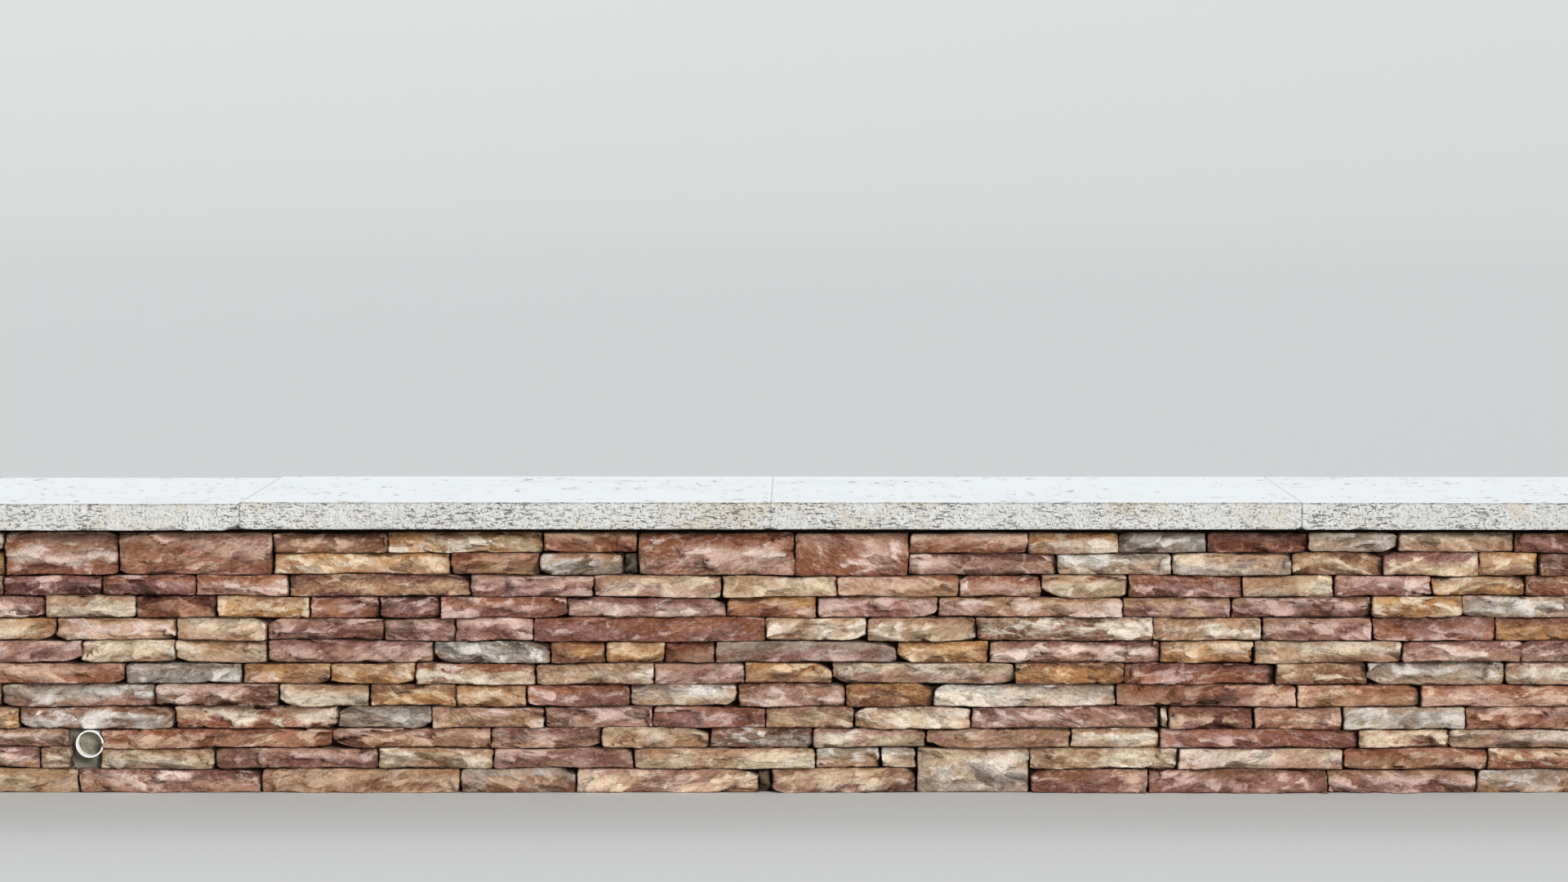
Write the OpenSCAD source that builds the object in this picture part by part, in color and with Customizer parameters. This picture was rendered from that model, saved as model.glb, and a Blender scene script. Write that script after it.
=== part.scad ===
// A low garden wall in six bays. A block core is faced on every side with stacked ledgestone,
// pipes drain through its foot, and pale slabs cope it. It runs along X, its front faces -Y and it
// stands on Z = 0, with the origin under its middle. Sizes are in millimetres.

/* [Coping] */
// Length of one bay: a slab and its joint
bay_length = 914.4; // [700:0.1:1200]
// Thickness of a slab
slab_thickness = 47; // [30:1:80]
// Open joint between two slabs
slab_joint = 3; // [1:0.5:8]
// How far the slabs reach out past the stone
slab_overhang = 30; // [15:1:60]
// Worn arris along a slab's top
slab_arris = 5; // [1:0.5:12]
// Broken arris along a slab's foot
slab_foot_arris = 3; // [1:0.5:8]
// Thickness of the mortar that the highest slab lies on
bed_thickness = 6; // [5:0.5:20]
// How far that mortar keeps back from the stone's face
bed_setback = 25; // [10:1:50]

/* [Core] */
// Thickness of the block core, front to back
core_thickness = 410; // [200:1:600]

/* [Ledgestone] */
// Height of one course
course_height = 38; // [30:0.5:60]
// Depth of a stone, from its face to the core
facing_depth = 70; // [50:1:110]
// Usual length of a stone
stone_length = 215; // [120:1:400]
// Share by which a stone may be longer or shorter
stone_spread = 0.55; // [0:0.05:0.7]
// How far a stone's face may stand in or out
stone_relief = 6; // [0:0.5:9]
// Width of the open joint between two stones
joint_width = 6; // [3:0.5:12]
// Depth of that joint
joint_depth = 22; // [8:1:40]
// How far a broken face falls back at its top and foot
face_fall = 10; // [2:0.5:16]
// Depth of the mortar that bonds the stones of an end together
bond_depth = 25; // [10:1:45]

/* [Weep pipes] */
// Inside diameter of a pipe
pipe_bore = 40.9; // [20:0.1:60]
// Thickness of its wall
pipe_wall = 3.7; // [2:0.1:6]
// Height of its centre above the foot of the wall
pipe_height = 86; // [60:1:200]
// Place of the first pipe along the wall
first_pipe = -1181; // [-2000:1:-1000]
// Distance from one pipe to the next
pipe_spacing = 3048; // [2100:1:3100]
// How far a pipe stands out of the stone's face
pipe_proud = 4; // [0:1:20]
// Room round a pipe in the mortar and the core
pipe_clearance = 0.3; // [0.1:0.1:1]
// Least width of the mortar collar on each side of a pipe
collar_side = 16; // [10:1:30]
// How far the collar keeps back from the stone's face
collar_setback = 14; // [0:1:30]

/* [Hidden] */

bay_count = 6;
course_count = 12;
core_count = 3;
// How far each slab has sunk into its bed, from the left
slab_sink = [2, 2.5, 0, 0, 0.5, 0];
// Seeds of the rows of stones, so that no two rows break joint alike
front_seed = 10;
back_seed = 40;
left_seed = 70;
right_seed = 100;
relief_seed = 200;
// Points that draw the bow of a broken face
bow_steps = 6;
round_smooth = 96;
// Overlap that keeps a cut clear of the face it goes through
cut_over = 1;

wall_height = course_count * course_height;
wall_thickness = core_thickness + 2 * facing_depth;
slab_depth = wall_thickness + 2 * slab_overhang;
coping_length = bay_count * bay_length;
wall_length = coping_length - 2 * slab_overhang;
core_length = wall_length - 2 * facing_depth;
core_piece = core_length / core_count;
pipe_radius = pipe_bore / 2 + pipe_wall;
pipe_length = wall_thickness + 2 * pipe_proud;
pipe_places = [first_pipe, first_pipe + pipe_spacing];
collar_width = 2 * (pipe_radius + collar_side);
// The collar fills whole courses, from the one that holds the pipe's foot to the one at its crown
collar_low = floor((pipe_height - pipe_radius) / course_height);
collar_high = ceil((pipe_height + pipe_radius) / course_height);

function total(list) = list * [for (n = list) 1];

// Lengths of the stones in a row that fills run
function stone_lengths(run, seed) =
  let (
    count = max(2, round(run / stone_length)),
    shares = rands(1 - stone_spread, 1 + stone_spread, count, seed)
  )
  shares * run / total(shares);

// Where each stone of the row starts, with the row's middle at 0
function stone_starts(lengths) =
  [for (i = 0, x = -total(lengths) / 2; i < len(lengths); x = x + lengths[i], i = i + 1) x];

// Plan of a row's faces, left to right, with a notch at each joint
function row_face(run, seed) =
  let (
    lengths = stone_lengths(run, seed),
    starts = stone_starts(lengths),
    last = len(lengths) - 1,
    stands = rands(-stone_relief, stone_relief, 2 * len(lengths), seed + relief_seed)
  )
  [for (i = [0 : last])
    let (
      left = i == 0 ? starts[i] : starts[i] + joint_width / 2,
      right = i == last ? run / 2 : starts[i] + lengths[i] - joint_width / 2
    )
    each concat(
      i == 0 ? [] : [[starts[i], joint_depth - facing_depth]],
      [[left, -facing_depth - stands[2 * i]], [right, -facing_depth - stands[2 * i + 1]]]
    )
  ];

// Bow of a broken face from foot to top, as [distance out, height]
function bow(reach, height) =
  [for (i = [0 : bow_steps])
    let (t = i / bow_steps)
    [reach - face_fall * pow(2 * t - 1, 2), t * height]
  ];

// One row of stones as a single ledge. Its back lies on y = 0 and its faces look along -Y. A ledge
// that shows at its ends falls back there too.
module ledge(run, seed, shows_at_ends) {
  reach = facing_depth + stone_relief;
  intersection() {
    linear_extrude(course_height)
      polygon(concat(row_face(run, seed), [[run / 2, 0], [-run / 2, 0]]));
    rotate([90, 0, 90])
      linear_extrude(run, center = true)
        polygon(concat([[0, 0]], [for (p = bow(reach, course_height)) [-p[0], p[1]]],
                       [[0, course_height]]));
    if (shows_at_ends)
      rotate([90, 0, 0])
        linear_extrude(2 * reach, center = true)
          polygon(concat(
            bow(run / 2 + stone_relief, course_height),
            [for (p = bow(run / 2 + stone_relief, course_height)) [-p[0], course_height - p[1]]]
          ));
  }
}

// The courses take turns at the corners: odd ones run through on the long faces, even ones on the ends
function runs_through(course) = course % 2 == 1;

// What a pipe's collar takes out of a long face
module collar_gaps() {
  for (place = pipe_places)
    translate([place - collar_width / 2, -wall_thickness, collar_low * course_height])
      cube([collar_width, 2 * wall_thickness, (collar_high - collar_low) * course_height]);
}

// One course of a long face, turned to look to the front or the back
module long_course(course, seed, turn) {
  difference() {
    rotate([0, 0, turn])
      translate([0, -core_thickness / 2, (course - 1) * course_height])
        ledge(runs_through(course) ? wall_length : core_length, seed + course, runs_through(course));
    if (course > collar_low && course <= collar_high) collar_gaps();
  }
}

module front_course(course) {
  color([0.60, 0.44, 0.32]) long_course(course, front_seed, 0);
}

// The back face repeats the front, with other stones
module back_course(course) {
  color([0.58, 0.43, 0.33]) long_course(course, back_seed, 180);
}

// An end's courses lie on each other, and the mortar behind bonds them into one facing
module end_facing(side, seed) {
  color([0.57, 0.41, 0.30])
    rotate([0, 0, side * 90])
      translate([0, -core_length / 2, 0]) {
        for (course = [1 : course_count])
          translate([0, 0, (course - 1) * course_height])
            ledge(runs_through(course) ? core_thickness : wall_thickness, seed + course,
                  !runs_through(course));
        translate([-core_thickness / 2, -bond_depth, 0])
          cube([core_thickness, bond_depth, wall_height]);
      }
}

// Cylinder through the whole wall at each pipe's place
module pipe_holes() {
  for (place = pipe_places)
    translate([place, 0, pipe_height])
      rotate([90, 0, 0])
        cylinder(h = 2 * wall_thickness, r = pipe_radius + pipe_clearance, center = true,
                 $fn = round_smooth);
}

module core(place) {
  color([0.62, 0.61, 0.59])
    difference() {
      translate([place * core_piece - core_length / 2, -core_thickness / 2, 0])
        cube([core_piece, core_thickness, wall_height]);
      pipe_holes();
    }
}

module weep_pipe(place) {
  color([0.93, 0.93, 0.92])
    translate([pipe_places[place], 0, pipe_height])
      rotate([90, 0, 0])
        difference() {
          cylinder(h = pipe_length, r = pipe_radius, center = true, $fn = round_smooth);
          cylinder(h = pipe_length + 2 * cut_over, r = pipe_bore / 2, center = true,
                   $fn = round_smooth);
        }
}

// Mortar round a pipe, in the front face and in the back one
module pipe_collars(place) {
  collar_depth = facing_depth - collar_setback;
  color([0.66, 0.64, 0.60])
    difference() {
      for (side = [-1, 1])
        translate([
          pipe_places[place] - collar_width / 2,
          side * (core_thickness + collar_depth) / 2 - collar_depth / 2,
          collar_low * course_height
        ])
          cube([collar_width, collar_depth, (collar_high - collar_low) * course_height]);
      pipe_holes();
    }
}

// One patch of mortar under each slab, as thick as that slab's level leaves
module coping_bed() {
  bed_length = wall_length - 2 * bed_setback;
  bed_depth = wall_thickness - 2 * bed_setback;
  color([0.60, 0.58, 0.54])
    intersection() {
      translate([-bed_length / 2, -bed_depth / 2, wall_height])
        cube([bed_length, bed_depth, bed_thickness]);
      for (bay = [0 : bay_count - 1])
        translate([bay * bay_length - coping_length / 2, -bed_depth, wall_height])
          cube([bay_length, 2 * bed_depth, bed_thickness - slab_sink[bay]]);
    }
}

// Outline of a slab, wide across, with its arrises worn off
module slab_outline(wide) {
  half = wide / 2;
  polygon([
    [-half + slab_foot_arris, 0], [half - slab_foot_arris, 0], [half, slab_foot_arris],
    [half, slab_thickness - slab_arris], [half - slab_arris, slab_thickness],
    [-half + slab_arris, slab_thickness], [-half, slab_thickness - slab_arris],
    [-half, slab_foot_arris]
  ]);
}

module coping_slab(bay) {
  slab_length = bay_length - slab_joint;
  color([0.86, 0.87, 0.86])
    translate([
      (bay - 0.5) * bay_length - coping_length / 2,
      0,
      wall_height + bed_thickness - slab_sink[bay - 1]
    ])
      intersection() {
        rotate([90, 0, 90]) linear_extrude(slab_length, center = true) slab_outline(slab_depth);
        rotate([90, 0, 0]) linear_extrude(slab_depth, center = true) slab_outline(slab_length);
      }
}

coping_slab(1);  // coping_slab_1
coping_slab(2);  // coping_slab_2
coping_slab(3);  // coping_slab_3
coping_slab(4);  // coping_slab_4
coping_slab(5);  // coping_slab_5
coping_slab(6);  // coping_slab_6
coping_bed();
front_course(1);  // front_course_01
front_course(2);  // front_course_02
front_course(3);  // front_course_03
front_course(4);  // front_course_04
front_course(5);  // front_course_05
front_course(6);  // front_course_06
front_course(7);  // front_course_07
front_course(8);  // front_course_08
front_course(9);  // front_course_09
front_course(10);  // front_course_10
front_course(11);  // front_course_11
front_course(12);  // front_course_12
back_course(1);  // back_course_01
back_course(2);  // back_course_02
back_course(3);  // back_course_03
back_course(4);  // back_course_04
back_course(5);  // back_course_05
back_course(6);  // back_course_06
back_course(7);  // back_course_07
back_course(8);  // back_course_08
back_course(9);  // back_course_09
back_course(10);  // back_course_10
back_course(11);  // back_course_11
back_course(12);  // back_course_12
end_facing(-1, left_seed);  // left_end_facing
end_facing(1, right_seed);  // right_end_facing
core(0);  // left_core
core(1);  // middle_core
core(2);  // right_core
weep_pipe(0);  // left_weep_pipe
weep_pipe(1);  // right_weep_pipe
pipe_collars(0);  // left_pipe_collars
pipe_collars(1);  // right_pipe_collars
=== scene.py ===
import math
import random

import bmesh
import bpy
from mathutils import Matrix, Vector, noise


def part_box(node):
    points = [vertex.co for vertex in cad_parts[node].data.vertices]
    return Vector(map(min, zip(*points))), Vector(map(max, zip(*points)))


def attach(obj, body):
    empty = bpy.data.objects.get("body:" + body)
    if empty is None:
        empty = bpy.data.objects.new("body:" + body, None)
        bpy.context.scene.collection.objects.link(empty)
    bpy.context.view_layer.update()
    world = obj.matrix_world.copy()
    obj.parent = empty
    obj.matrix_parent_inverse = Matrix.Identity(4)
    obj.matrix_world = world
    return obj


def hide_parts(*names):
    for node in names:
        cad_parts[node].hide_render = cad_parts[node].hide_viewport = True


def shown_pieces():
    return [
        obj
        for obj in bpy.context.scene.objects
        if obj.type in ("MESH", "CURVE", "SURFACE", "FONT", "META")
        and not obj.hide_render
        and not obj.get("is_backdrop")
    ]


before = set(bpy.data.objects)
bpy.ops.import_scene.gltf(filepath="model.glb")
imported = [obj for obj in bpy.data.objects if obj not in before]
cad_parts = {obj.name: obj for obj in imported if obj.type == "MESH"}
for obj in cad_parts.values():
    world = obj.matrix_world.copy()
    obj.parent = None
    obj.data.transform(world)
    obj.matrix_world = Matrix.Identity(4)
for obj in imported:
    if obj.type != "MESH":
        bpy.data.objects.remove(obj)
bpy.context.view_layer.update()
print("frame loaded:", len(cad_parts), "nodes")

mm = 0.001
tiny = 1e-6   # two places nearer than this are one
noise.seed_set(31)   # noise_vector takes its offsets from this


# small helpers

def srgb(red, green, blue):
    # a colour as a picture shows it, 0 to 255, to the linear values that Blender takes
    line = []
    for part in (red, green, blue):
        part /= 255
        line.append(part / 12.92 if part <= 0.04045 else ((part + 0.055) / 1.055) ** 2.4)
    return (*line, 1.0)


def clamp(x, low=0.0, high=1.0):
    return max(low, min(high, x))


def ripple(x, z, key):
    # one value of soft noise, about -1 to 1
    return noise.noise(Vector((x, z, key)))


def crowd(t, share):
    # draws evenly spaced cuts towards both ends
    return t - share * math.sin(2 * math.pi * t) / (2 * math.pi)


def rounded(radius, inward):
    # how far an edge of this radius has fallen away, so far in from it
    if inward >= radius:
        return 0.0
    return radius - math.sqrt(max(0.0, radius ** 2 - (radius - inward) ** 2))


def uprightGrid(bm, columns, rows, turn):
    # a square grid tilted up about X, and its rim
    made = bmesh.ops.create_grid(bm, x_segments=columns, y_segments=rows, size=0.5)["verts"]
    bmesh.ops.rotate(bm, verts=made, cent=(0, 0, 0), matrix=Matrix.Rotation(turn, 3, "X"))
    around = dict.fromkeys(e for v in made for e in v.link_edges)
    return made, [e for e in around if e.is_boundary]


def extrudeRing(bm, edges):
    # the new vertices and the new rim
    made = bmesh.ops.extrude_edge_only(bm, edges=edges)["geom"]
    verts = [g for g in made if isinstance(g, bmesh.types.BMVert)]
    fresh = set(verts)
    return verts, [g for g in made if isinstance(g, bmesh.types.BMEdge) and g.is_boundary
                   and all(v in fresh for v in g.verts)]


def newObject(name, data):
    made = bpy.data.objects.new(name, data)
    bpy.context.scene.collection.objects.link(made)
    return made


def newPiece(name, bm, material):
    bmesh.ops.recalc_face_normals(bm, faces=bm.faces[:])
    mesh = bpy.data.meshes.new(name)
    bm.to_mesh(mesh)
    bm.free()
    mesh.shade_smooth()
    mesh.materials.append(material)
    return newObject(name, mesh)


# shader helpers

class Shader:
    # a material's or a group's node tree, with short calls to add and link nodes
    def __init__(self, tree):
        self.tree = tree
        self.count = 0

    def link(self, value, socket):
        # a socket takes another one's output or a plain value
        if isinstance(value, bpy.types.NodeSocket):
            self.tree.links.new(value, socket)
        else:
            socket.default_value = value

    def add(self, kind, inputs=(), **settings):
        node = self.tree.nodes.new("ShaderNode" + kind)
        node.location = (180 * (self.count % 12) - 1400, 260 - 230 * (self.count // 12))
        self.count += 1
        for key, value in settings.items():
            setattr(node, key, value)
        for key, value in dict(inputs).items():
            self.link(value, node.inputs[key])
        return node

    def place(self):
        return self.add("TexCoord").outputs["Object"]

    def attribute(self, name):
        return self.add("Attribute", attribute_name=name).outputs

    def group(self, tree, **inputs):
        return self.add("Group", inputs, node_tree=tree).outputs

    def stretch(self, where, scale, turn=(0.0, 0.0, 0.0)):
        inputs = {"Vector": where, "Scale": scale, "Rotation": turn}
        return self.add("Mapping", inputs).outputs[0]

    def noise(self, where, cells, detail=4.0, rough=0.55, distort=0.0):
        # cells a metre, as one number or as (along, through, up)
        if isinstance(cells, tuple):
            where, cells = self.stretch(where, cells), 1.0
        inputs = {"Vector": where, "Scale": cells, "Detail": detail, "Roughness": rough,
                  "Distortion": distort}
        return self.add("TexNoise", inputs).outputs["Fac"]

    def ramp(self, value, low, high, start=0.0, stop=1.0):
        inputs = {"Value": value, "From Min": low, "From Max": high, "To Min": start,
                  "To Max": stop}
        return self.add("MapRange", inputs, interpolation_type="SMOOTHSTEP").outputs[0]

    def maths(self, operation, a, b=0.5, clampIt=False):
        node = self.add("Math", {0: a, 1: b}, operation=operation, use_clamp=clampIt)
        return node.outputs[0]

    def plus(self, total, *others):
        for other in others:
            total = self.maths("ADD", total, other)
        return total

    def minus(self, a, b):
        return self.maths("SUBTRACT", a, b)

    def times(self, a, b, clampIt=False):
        return self.maths("MULTIPLY", a, b, clampIt)

    def vector(self, operation, a, b):
        inputs = {0: a, "Scale" if operation == "SCALE" else 1: b}
        node = self.add("VectorMath", inputs, operation=operation)
        return node.outputs["Value" if operation == "DOT_PRODUCT" else "Vector"]

    def blend(self, share, a, b, kind="MIX"):
        # a colour is a socket, or red, green and blue as a picture shows them
        a, b = (srgb(*c) if isinstance(c, tuple) else c for c in (a, b))
        node = self.add("Mix", {0: share, 6: a, 7: b}, data_type="RGBA", blend_type=kind)
        return node.outputs[2]

    def dress(self, skin, colour, rough, height, distance, strength=1.0, shine=0.5):
        bump = self.add("Bump", {"Height": height, "Strength": strength, "Distance": distance})
        for key, value in (("Base Color", colour), ("Roughness", rough),
                           ("Specular IOR Level", shine), ("Normal", bump.outputs[0])):
            self.link(value, skin.inputs[key])


def newMaterial(name):
    material = bpy.data.materials.new(name)
    material.use_nodes = True
    return material, Shader(material.node_tree), material.node_tree.nodes["Principled BSDF"]


def newGroup(name, inputs, outputs):
    # an input is the value it starts with, or None for a vector, and all outputs are values
    tree = bpy.data.node_groups.new(name, "ShaderNodeTree")
    for key, start in inputs.items():
        kind = "NodeSocketVector" if start is None else "NodeSocketFloat"
        socket = tree.interface.new_socket(name=key, in_out="INPUT", socket_type=kind)
        if start is not None:
            socket.default_value = start
    for key in outputs:
        tree.interface.new_socket(name=key, in_out="OUTPUT", socket_type="NodeSocketFloat")
    into = tree.nodes.new("NodeGroupInput")
    into.location = (-1700, 0)
    out = tree.nodes.new("NodeGroupOutput")
    out.location = (1000, 0)
    return Shader(tree), into.outputs, out.inputs


# node groups shared by the stone, the slabs and the mortar

def makeGrainGroup():
    # fine mineral grain: a mask for colour and a height for bump
    s, given, result = newGroup("mineralGrain", {"Vector": None, "Size": 1.0},
                                ("Speckle", "Height"))
    scaled = s.vector("SCALE", given["Vector"], given["Size"])
    fine = s.noise(scaled, 420, 3, 0.7)
    coarse = s.noise(scaled, 130, 4, 0.6)
    s.link(s.ramp(fine, 0.38, 0.66), result["Speckle"])
    s.link(s.plus(s.times(fine, 0.4), s.times(coarse, 0.6)), result["Height"])
    return s.tree


def makeGrimeAndShadeGroup():
    # dark growth and dirt in patches, and painted shade where Keep is high, such as in joints and
    # under ledges
    s, given, result = newGroup("grimeAndJointShade", {"Vector": None, "Keep": 0, "Amount": 0.5},
                                ("Mask",))
    patch = s.noise(given["Vector"], 9, 5, 0.65)
    fine = s.noise(given["Vector"], 70, 4, 0.6)
    level = s.plus(s.times(patch, 0.65), s.times(fine, 0.35), s.times(given["Keep"], 0.42))
    s.link(s.times(s.ramp(level, 0.62, 0.86), given["Amount"], True), result["Mask"])
    return s.tree


def makePitGroup():
    # open pits and slanting gouges in cast stone
    s, given, result = newGroup("castPits", {"Vector": None, "Amount": 1.0},
                                ("Pits", "Height"))
    dots = s.noise(given["Vector"], 230, 2, 0.5)
    dimples = s.noise(given["Vector"], 150, 5, 0.68)
    patches = s.noise(given["Vector"], 13, 3, 0.5)
    slanted = s.stretch(given["Vector"], (75, 75, 300), (0, 0.62, 0))
    gouges = s.ramp(s.noise(slanted, 1, 3, 0.6, 0.4), 0.57, 0.64)
    gouges = s.times(gouges, s.ramp(patches, 0.40, 0.56))
    smallPits = s.times(s.ramp(dots, 0.61, 0.70), s.ramp(patches, 0.34, 0.62, 0.35, 1))
    pits = s.maths("MAXIMUM", gouges, smallPits)
    s.link(s.times(pits, given["Amount"], True), result["Pits"])
    s.link(s.minus(dimples, s.times(pits, 0.8)), result["Height"])
    return s.tree


def makeFacetGroup():
    # broken facets: each cell of the rock is a plane of its own tilt, with a line where two meet
    s, given, result = newGroup("brokenFacets", {"Vector": None, "Warp": 0.35},
                                ("Height", "Shade", "Line"))
    half = (0.5, 0.5, 0.5)
    bend = s.add("TexNoise", {"Vector": given["Vector"], "Scale": 1.3, "Detail": 3.0})
    bend = s.vector("SUBTRACT", bend.outputs["Color"], half)
    bent = s.vector("ADD", given["Vector"], s.vector("SCALE", bend, given["Warp"]))
    inputs = {"Vector": bent, "Scale": 1.0}
    cell = s.add("TexVoronoi", inputs).outputs
    border = s.add("TexVoronoi", inputs, feature="DISTANCE_TO_EDGE").outputs["Distance"]
    away = s.vector("SUBTRACT", bent, cell["Position"])
    plane = s.vector("DOT_PRODUCT", away, s.vector("SUBTRACT", cell["Color"], half))
    own = s.add("SeparateColor", {0: cell["Color"]}).outputs
    s.link(s.plus(s.times(plane, 1.6), s.times(own[0], 0.3)), result["Height"])
    # painted light: a facet is palest along the side where it stands out, and where it looks up
    shade = s.minus(s.times(plane, 2.4), s.times(own[2], 0.5))
    s.link(s.maths("ADD", shade, 0.75, True), result["Shade"])
    s.link(s.ramp(border, 0, 0.09, 1, 0), result["Line"])
    return s.tree


grainGroup = makeGrainGroup()
facetGroup = makeFacetGroup()
grimeAndShadeGroup = makeGrimeAndShadeGroup()
pitGroup = makePitGroup()


# ledgestone

stoneColours = {
    # main colour, its deeper stain, its pale bloom, which is also the colour of painted highlights
    "tan": ((206, 175, 144), (174, 136, 106), (238, 217, 189)),
    "cream": ((224, 208, 185), (194, 168, 141), (244, 231, 211)),
    "orange": ((204, 161, 113), (168, 119, 77), (236, 210, 173)),
    "rust": ((172, 121, 96), (137, 88, 67), (226, 193, 170)),
    "plum": ((154, 115, 104), (114, 79, 73), (220, 190, 177)),
    "pink": ((206, 174, 156), (163, 122, 107), (236, 213, 198)),
    "grey": ((196, 187, 177), (153, 144, 136), (236, 228, 219)),
    "brown": ((152, 116, 92), (118, 86, 68), (212, 182, 156)),
    "brick": ((147, 99, 77), (110, 69, 53), (200, 154, 128)),
    "mortar": ((150, 143, 128), (112, 108, 92), (176, 170, 156)),
    "joint": ((98, 80, 64), (62, 50, 40), (112, 94, 76)),
}

stoneLook = {
    # cells a metre along, through and up a stone
    "facets": (24, 24, 56),
    "stains": (13, 13, 24),
    "earths": (17, 17, 34),
    "blooms": (24, 24, 50),
    "beds": (12, 12, 44),
    "ripples": (110, 110, 190),
    "slants": 0.7,  # radians between the steepest ones
    # how much of it there may be, and its colour
    "earthAndShade": (0.75, (190, 162, 138)),
    "bloom": 0.85,
    "crestDustAndLight": 0.42,
    "crack": (0.3, (92, 62, 46)),
    "shade": (0.34, (150, 112, 90)),
    "glint": 0.3,
    "speckle": (0.2, (168, 134, 112)),
    "grimeAndShade": (0.45, (62, 46, 35)),
    "edgeShade": (0.25, (84, 60, 43)),
    "relief": 13 * mm,
}


def makeLedgestone():
    look = stoneLook
    material, s, skin = newMaterial("ledgestone")
    shift = s.attribute("stoneShift")["Color"]
    own = s.vector("ADD", s.place(), shift)
    main, stain, bloom = (s.attribute(name)["Color"]
                          for name in ("stoneMain", "stoneStain", "stoneBloom"))
    facts = s.attribute("stoneFacts")
    crestDustAndLight, edgeShade, band = s.add("SeparateColor", {0: facts["Color"]}).outputs
    rim = facts["Alpha"]
    grain = s.group(grainGroup, Vector=own)
    sand = s.minus(s.noise(own, 260, 5, 0.75), 0.5)

    # the rock of each stone lies at a slant of its own
    turnShare = s.maths("FRACT", s.add("SeparateXYZ", {0: shift}).outputs[1])
    turn = s.times(s.minus(turnShare, 0.5), look["slants"])
    slanted = s.add("VectorRotate", {"Vector": own, "Angle": turn},
                    rotation_type="Y_AXIS").outputs[0]
    facet = s.group(facetGroup, Vector=s.stretch(slanted, look["facets"]), Warp=0.5)
    # facing: the painted light and shade of the facets
    facing = s.minus(facet["Shade"], 0.5)

    # the stain lies in soft patches, most towards one side and round the rim
    clouds = s.noise(slanted, look["stains"], 8, 0.52, 0.4)
    level = s.plus(clouds, s.times(s.minus(band, 0.5), 0.42), s.times(rim, 0.10),
                   s.times(sand, 0.45))
    # a little more stain on facets that look down: painted shade
    level = s.minus(level, s.times(facing, 0.12))
    colour = s.blend(s.ramp(level, 0.40, 0.66), main, stain)

    # darker earth in patches along the rim, and painted shade in the hollows and on facets that look
    # down
    earthy = s.noise(slanted, look["earths"], 7, 0.55, 0.5)
    hollow = s.plus(s.times(s.minus(0.45, crestDustAndLight), 0.45), s.times(rim, 0.16), earthy,
                    s.times(sand, 0.3))
    most, tone = look["earthAndShade"]
    colour = s.blend(s.ramp(hollow, 0.50, 0.76, 0, most), colour, tone, "MULTIPLY")

    # a pale bloom of sand in patches, and painted highlight on what stands out and looks up
    veil = s.noise(slanted, look["blooms"], 8, 0.6, 0.5)
    lift = s.plus(veil, s.times(s.minus(crestDustAndLight, 0.5), 0.42))
    lift = s.minus(lift, s.times(rim, 0.13))
    lift = s.plus(lift, s.times(facing, 0.42), s.times(sand, 0.55))
    colour = s.blend(s.ramp(lift, 0.40, 0.70, 0, look["bloom"]), colour, bloom)

    # pale lines where facets meet, partly wear and partly painted highlight, cracks along the bed of
    # the rock, the sandy grain and grime
    wornLitLine = s.times(facet["Line"], s.ramp(veil, 0.48, 0.62, 0, look["crestDustAndLight"]))
    colour = s.blend(wornLitLine, colour, bloom)
    offBed = s.maths("ABSOLUTE", s.minus(s.noise(slanted, look["beds"], 4, 0.55, 0.9), 0.5))
    crack = s.times(s.ramp(offBed, 0.003, 0.013, 1, 0), s.ramp(clouds, 0.52, 0.62))
    most, tone = look["crack"]
    colour = s.blend(s.times(crack, most), colour, tone)
    # painted shade in the troughs of the fine ripples, and a painted glint on their crests
    ripples = s.noise(slanted, look["ripples"], 4, 0.7, 0.4)
    most, tone = look["shade"]
    colour = s.blend(s.ramp(ripples, 0.34, 0.50, most, 0), colour, tone, "MULTIPLY")
    colour = s.blend(s.ramp(ripples, 0.52, 0.68, 0, look["glint"]), colour, bloom)
    most, tone = look["speckle"]
    colour = s.blend(s.times(grain["Speckle"], most), colour, tone, "MULTIPLY")
    # dirt in patches, and painted shade where the edges meet the joints
    most, tone = look["grimeAndShade"]
    grimeAndShade = s.group(grimeAndShadeGroup, Vector=own, Keep=edgeShade, Amount=most)
    colour = s.blend(grimeAndShade["Mask"], colour, tone)
    # painted shade along the stone's edges and sides, in the joints
    most, tone = look["edgeShade"]
    colour = s.blend(s.ramp(edgeShade, 0.4, 1, 0, most), colour, tone)
    height = s.plus(s.times(facet["Height"], 1.5), s.times(grain["Height"], 0.30))
    height = s.minus(height, s.times(crack, 0.14))
    height = s.plus(height, s.times(veil, 0.8), s.times(ripples, 0.14))
    rough = s.ramp(grain["Height"], 0.3, 0.7, 0.78, 0.95)
    s.dress(skin, colour, rough, height, look["relief"], shine=0.2)
    return material


ledgestone = makeLedgestone()

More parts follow.
